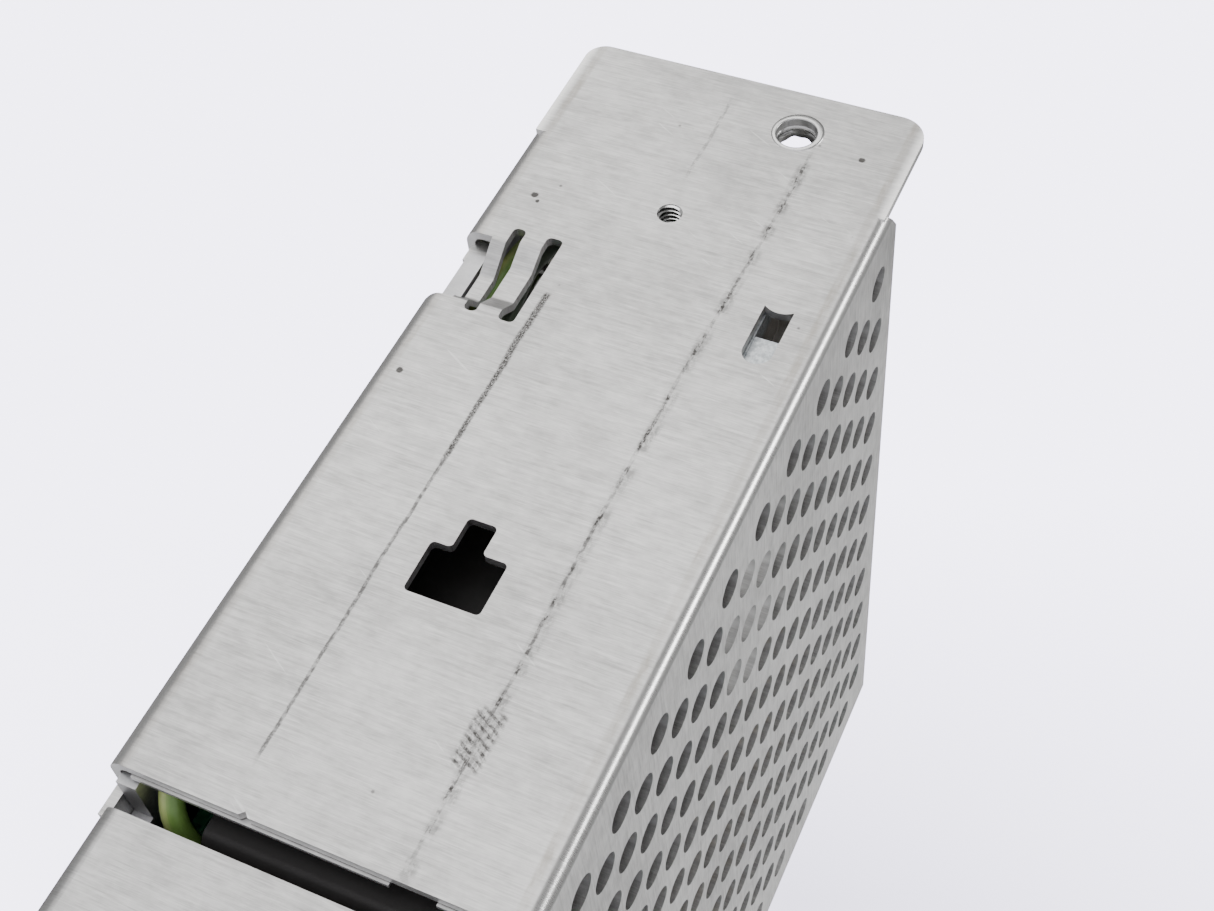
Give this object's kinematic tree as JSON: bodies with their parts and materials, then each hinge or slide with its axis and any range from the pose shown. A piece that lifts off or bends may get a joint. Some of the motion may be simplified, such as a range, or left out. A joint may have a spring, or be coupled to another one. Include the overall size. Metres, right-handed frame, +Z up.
{
  "type": "din rail power supply",
  "caption": "Slim metal-cased power supply: a perforated side, a hook and a spring latch for a 35 mm rail, a screw flange, and screw terminals at both front corners.",
  "frame": {"origin": "middle of the footprint at the underside", "axes": "+Z up as it hangs on the rail, +Y towards the rail (rear), -Y the terminal side (front), -X the perforated side"},
  "size_m": [0.05, 0.122, 0.1812],
  "materials": {
    "aluminium_sheet": "rolled sheet with a fine grain",
    "aluminium_plain": "mill finish",
    "zinc": "zinc plated",
    "zinc_bolt": "zinc plated screw",
    "nickel": "nickel plated",
    "latch_steel": "plated sheet",
    "spring_steel": "bright wire",
    "black_plastic": "satin",
    "green_plastic": "satin",
    "white_foam": "closed cell foam",
    "board_green": "solder mask",
    "can_sleeve": "shrink sleeve",
    "ferrite": "sintered",
    "tape_yellow": "wrapped tape",
    "bobbin": "moulded",
    "epoxy_black": "moulded epoxy",
    "core_green": "coated powder core",
    "copper": "enamelled wire",
    "box_yellow": "moulded box",
    "varistor_blue": "dipped coating",
    "fuse_white": "ceramic tube",
    "relay_blue": "moulded box",
    "wire_green": "striped insulation",
    "wire_dark": "insulation",
    "lens_green": "clear tinted resin",
    "pot_blue": "moulded",
    "knob_white": "moulded"
  },
  "bodies": {
    "case": {"board_screws": "zinc_bolt", "board_spacers": "nickel", "bridge_rectifier": "epoxy_black", "chassis": "aluminium_sheet", "control_board": "board_green", "cover_screws": "zinc_bolt", "device_heat_sinks": "aluminium_plain", "front_board": "board_green", "front_cover": "aluminium_plain", "input_busbars": "nickel", "input_capacitors": "can_sleeve", "input_terminal_block": "green_plastic", "inrush_relay": "relay_blue", "latch_guides": "latch_steel", "latch_rivets": "aluminium_plain", "latch_spring": "spring_steel", "lead_header": "knob_white", "line_choke_core": "ferrite", "line_choke_winding": "copper", "line_fuse": "fuse_white", "main_board": "board_green", "output_busbars": "nickel", "output_capacitors": "can_sleeve", "output_choke_core": "core_green", "output_choke_winding": "copper", "output_diodes": "epoxy_black", "output_terminal_block": "green_plastic", "pe_ring_lug": "nickel", "pe_screw": "zinc_bolt", "pe_wire": "wire_green", "power_transistors": "epoxy_black", "rail_seat": "black_plastic", "rear_bracket": "zinc", "rear_liner": "aluminium_plain", "side_spacer": "white_foam", "signal_lead": "wire_dark", "status_led": "lens_green", "terminal_boards": "board_green", "transformer_bobbin": "bobbin", "transformer_core": "ferrite", "transformer_winding": "tape_yellow", "trim_pot_body": "pot_blue", "varistor": "varistor_blue", "wall_heat_sink": "aluminium_plain", "wall_screws": "zinc_bolt", "x_capacitors": "box_yellow"},
    "latch": {"din_latch": "latch_steel"},
    "trim_knob": {"trim_pot_knob": "knob_white"},
    "output_screw_1": {"output_screw_1": "zinc_bolt"},
    "output_cage_1": {"output_cage_1": "nickel"},
    "output_screw_2": {"output_screw_2": "zinc_bolt"},
    "output_cage_2": {"output_cage_2": "nickel"},
    "output_screw_3": {"output_screw_3": "zinc_bolt"},
    "output_cage_3": {"output_cage_3": "nickel"},
    "input_screw_1": {"input_screw_1": "zinc_bolt"},
    "input_cage_1": {"input_cage_1": "nickel"},
    "input_screw_2": {"input_screw_2": "zinc_bolt"},
    "input_cage_2": {"input_cage_2": "nickel"},
    "input_screw_3": {"input_screw_3": "zinc_bolt"},
    "input_cage_3": {"input_cage_3": "nickel"}
  },
  "joints": [
    {"name": "latch_slide", "type": "slide", "parent": "case", "child": "latch", "axis": [0, 0, -1], "range_m": [0, 0.005], "stiffness_N_per_m": 900, "springref_m": -0.004, "deforming": ["latch_spring"]},
    {"name": "trim_knob_turn", "type": "hinge", "parent": "case", "child": "trim_knob", "pos_m": [0.009, -0.058, 0.126], "axis": [0, 1, 0], "range_deg": [-135, 135]},
    {"name": "output_screw_1_turn", "type": "hinge", "parent": "case", "child": "output_screw_1", "pos_m": [-0.012, -0.0576, 0.15], "axis": [0, 1, 0], "range_deg": [0, 2880]},
    {"name": "output_cage_1_slide", "type": "slide", "parent": "case", "child": "output_cage_1", "axis": [0, -1, 0], "range_m": [0, 0.004]},
    {"name": "output_screw_2_turn", "type": "hinge", "parent": "case", "child": "output_screw_2", "pos_m": [0, -0.0576, 0.15], "axis": [0, 1, 0], "range_deg": [0, 2880]},
    {"name": "output_cage_2_slide", "type": "slide", "parent": "case", "child": "output_cage_2", "axis": [0, -1, 0], "range_m": [0, 0.004]},
    {"name": "output_screw_3_turn", "type": "hinge", "parent": "case", "child": "output_screw_3", "pos_m": [0.012, -0.0576, 0.15], "axis": [0, 1, 0], "range_deg": [0, 2880]},
    {"name": "output_cage_3_slide", "type": "slide", "parent": "case", "child": "output_cage_3", "axis": [0, -1, 0], "range_m": [0, 0.004]},
    {"name": "input_screw_1_turn", "type": "hinge", "parent": "case", "child": "input_screw_1", "pos_m": [-0.012, -0.0576, 0.016], "axis": [0, 1, 0], "range_deg": [0, 2880]},
    {"name": "input_cage_1_slide", "type": "slide", "parent": "case", "child": "input_cage_1", "axis": [0, -1, 0], "range_m": [0, 0.004]},
    {"name": "input_screw_2_turn", "type": "hinge", "parent": "case", "child": "input_screw_2", "pos_m": [0, -0.0576, 0.016], "axis": [0, 1, 0], "range_deg": [0, 2880]},
    {"name": "input_cage_2_slide", "type": "slide", "parent": "case", "child": "input_cage_2", "axis": [0, -1, 0], "range_m": [0, 0.004]},
    {"name": "input_screw_3_turn", "type": "hinge", "parent": "case", "child": "input_screw_3", "pos_m": [0.012, -0.0576, 0.016], "axis": [0, 1, 0], "range_deg": [0, 2880]},
    {"name": "input_cage_3_slide", "type": "slide", "parent": "case", "child": "input_cage_3", "axis": [0, -1, 0], "range_m": [0, 0.004]}
  ],
  "couplings": [
    {"joint": "output_screw_1_turn", "follows": "output_cage_1_slide", "rad_per_m": 12566},
    {"joint": "output_screw_2_turn", "follows": "output_cage_2_slide", "rad_per_m": 12566},
    {"joint": "output_screw_3_turn", "follows": "output_cage_3_slide", "rad_per_m": 12566},
    {"joint": "input_screw_1_turn", "follows": "input_cage_1_slide", "rad_per_m": 12566},
    {"joint": "input_screw_2_turn", "follows": "input_cage_2_slide", "rad_per_m": 12566},
    {"joint": "input_screw_3_turn", "follows": "input_cage_3_slide", "rad_per_m": 12566}
  ]
}
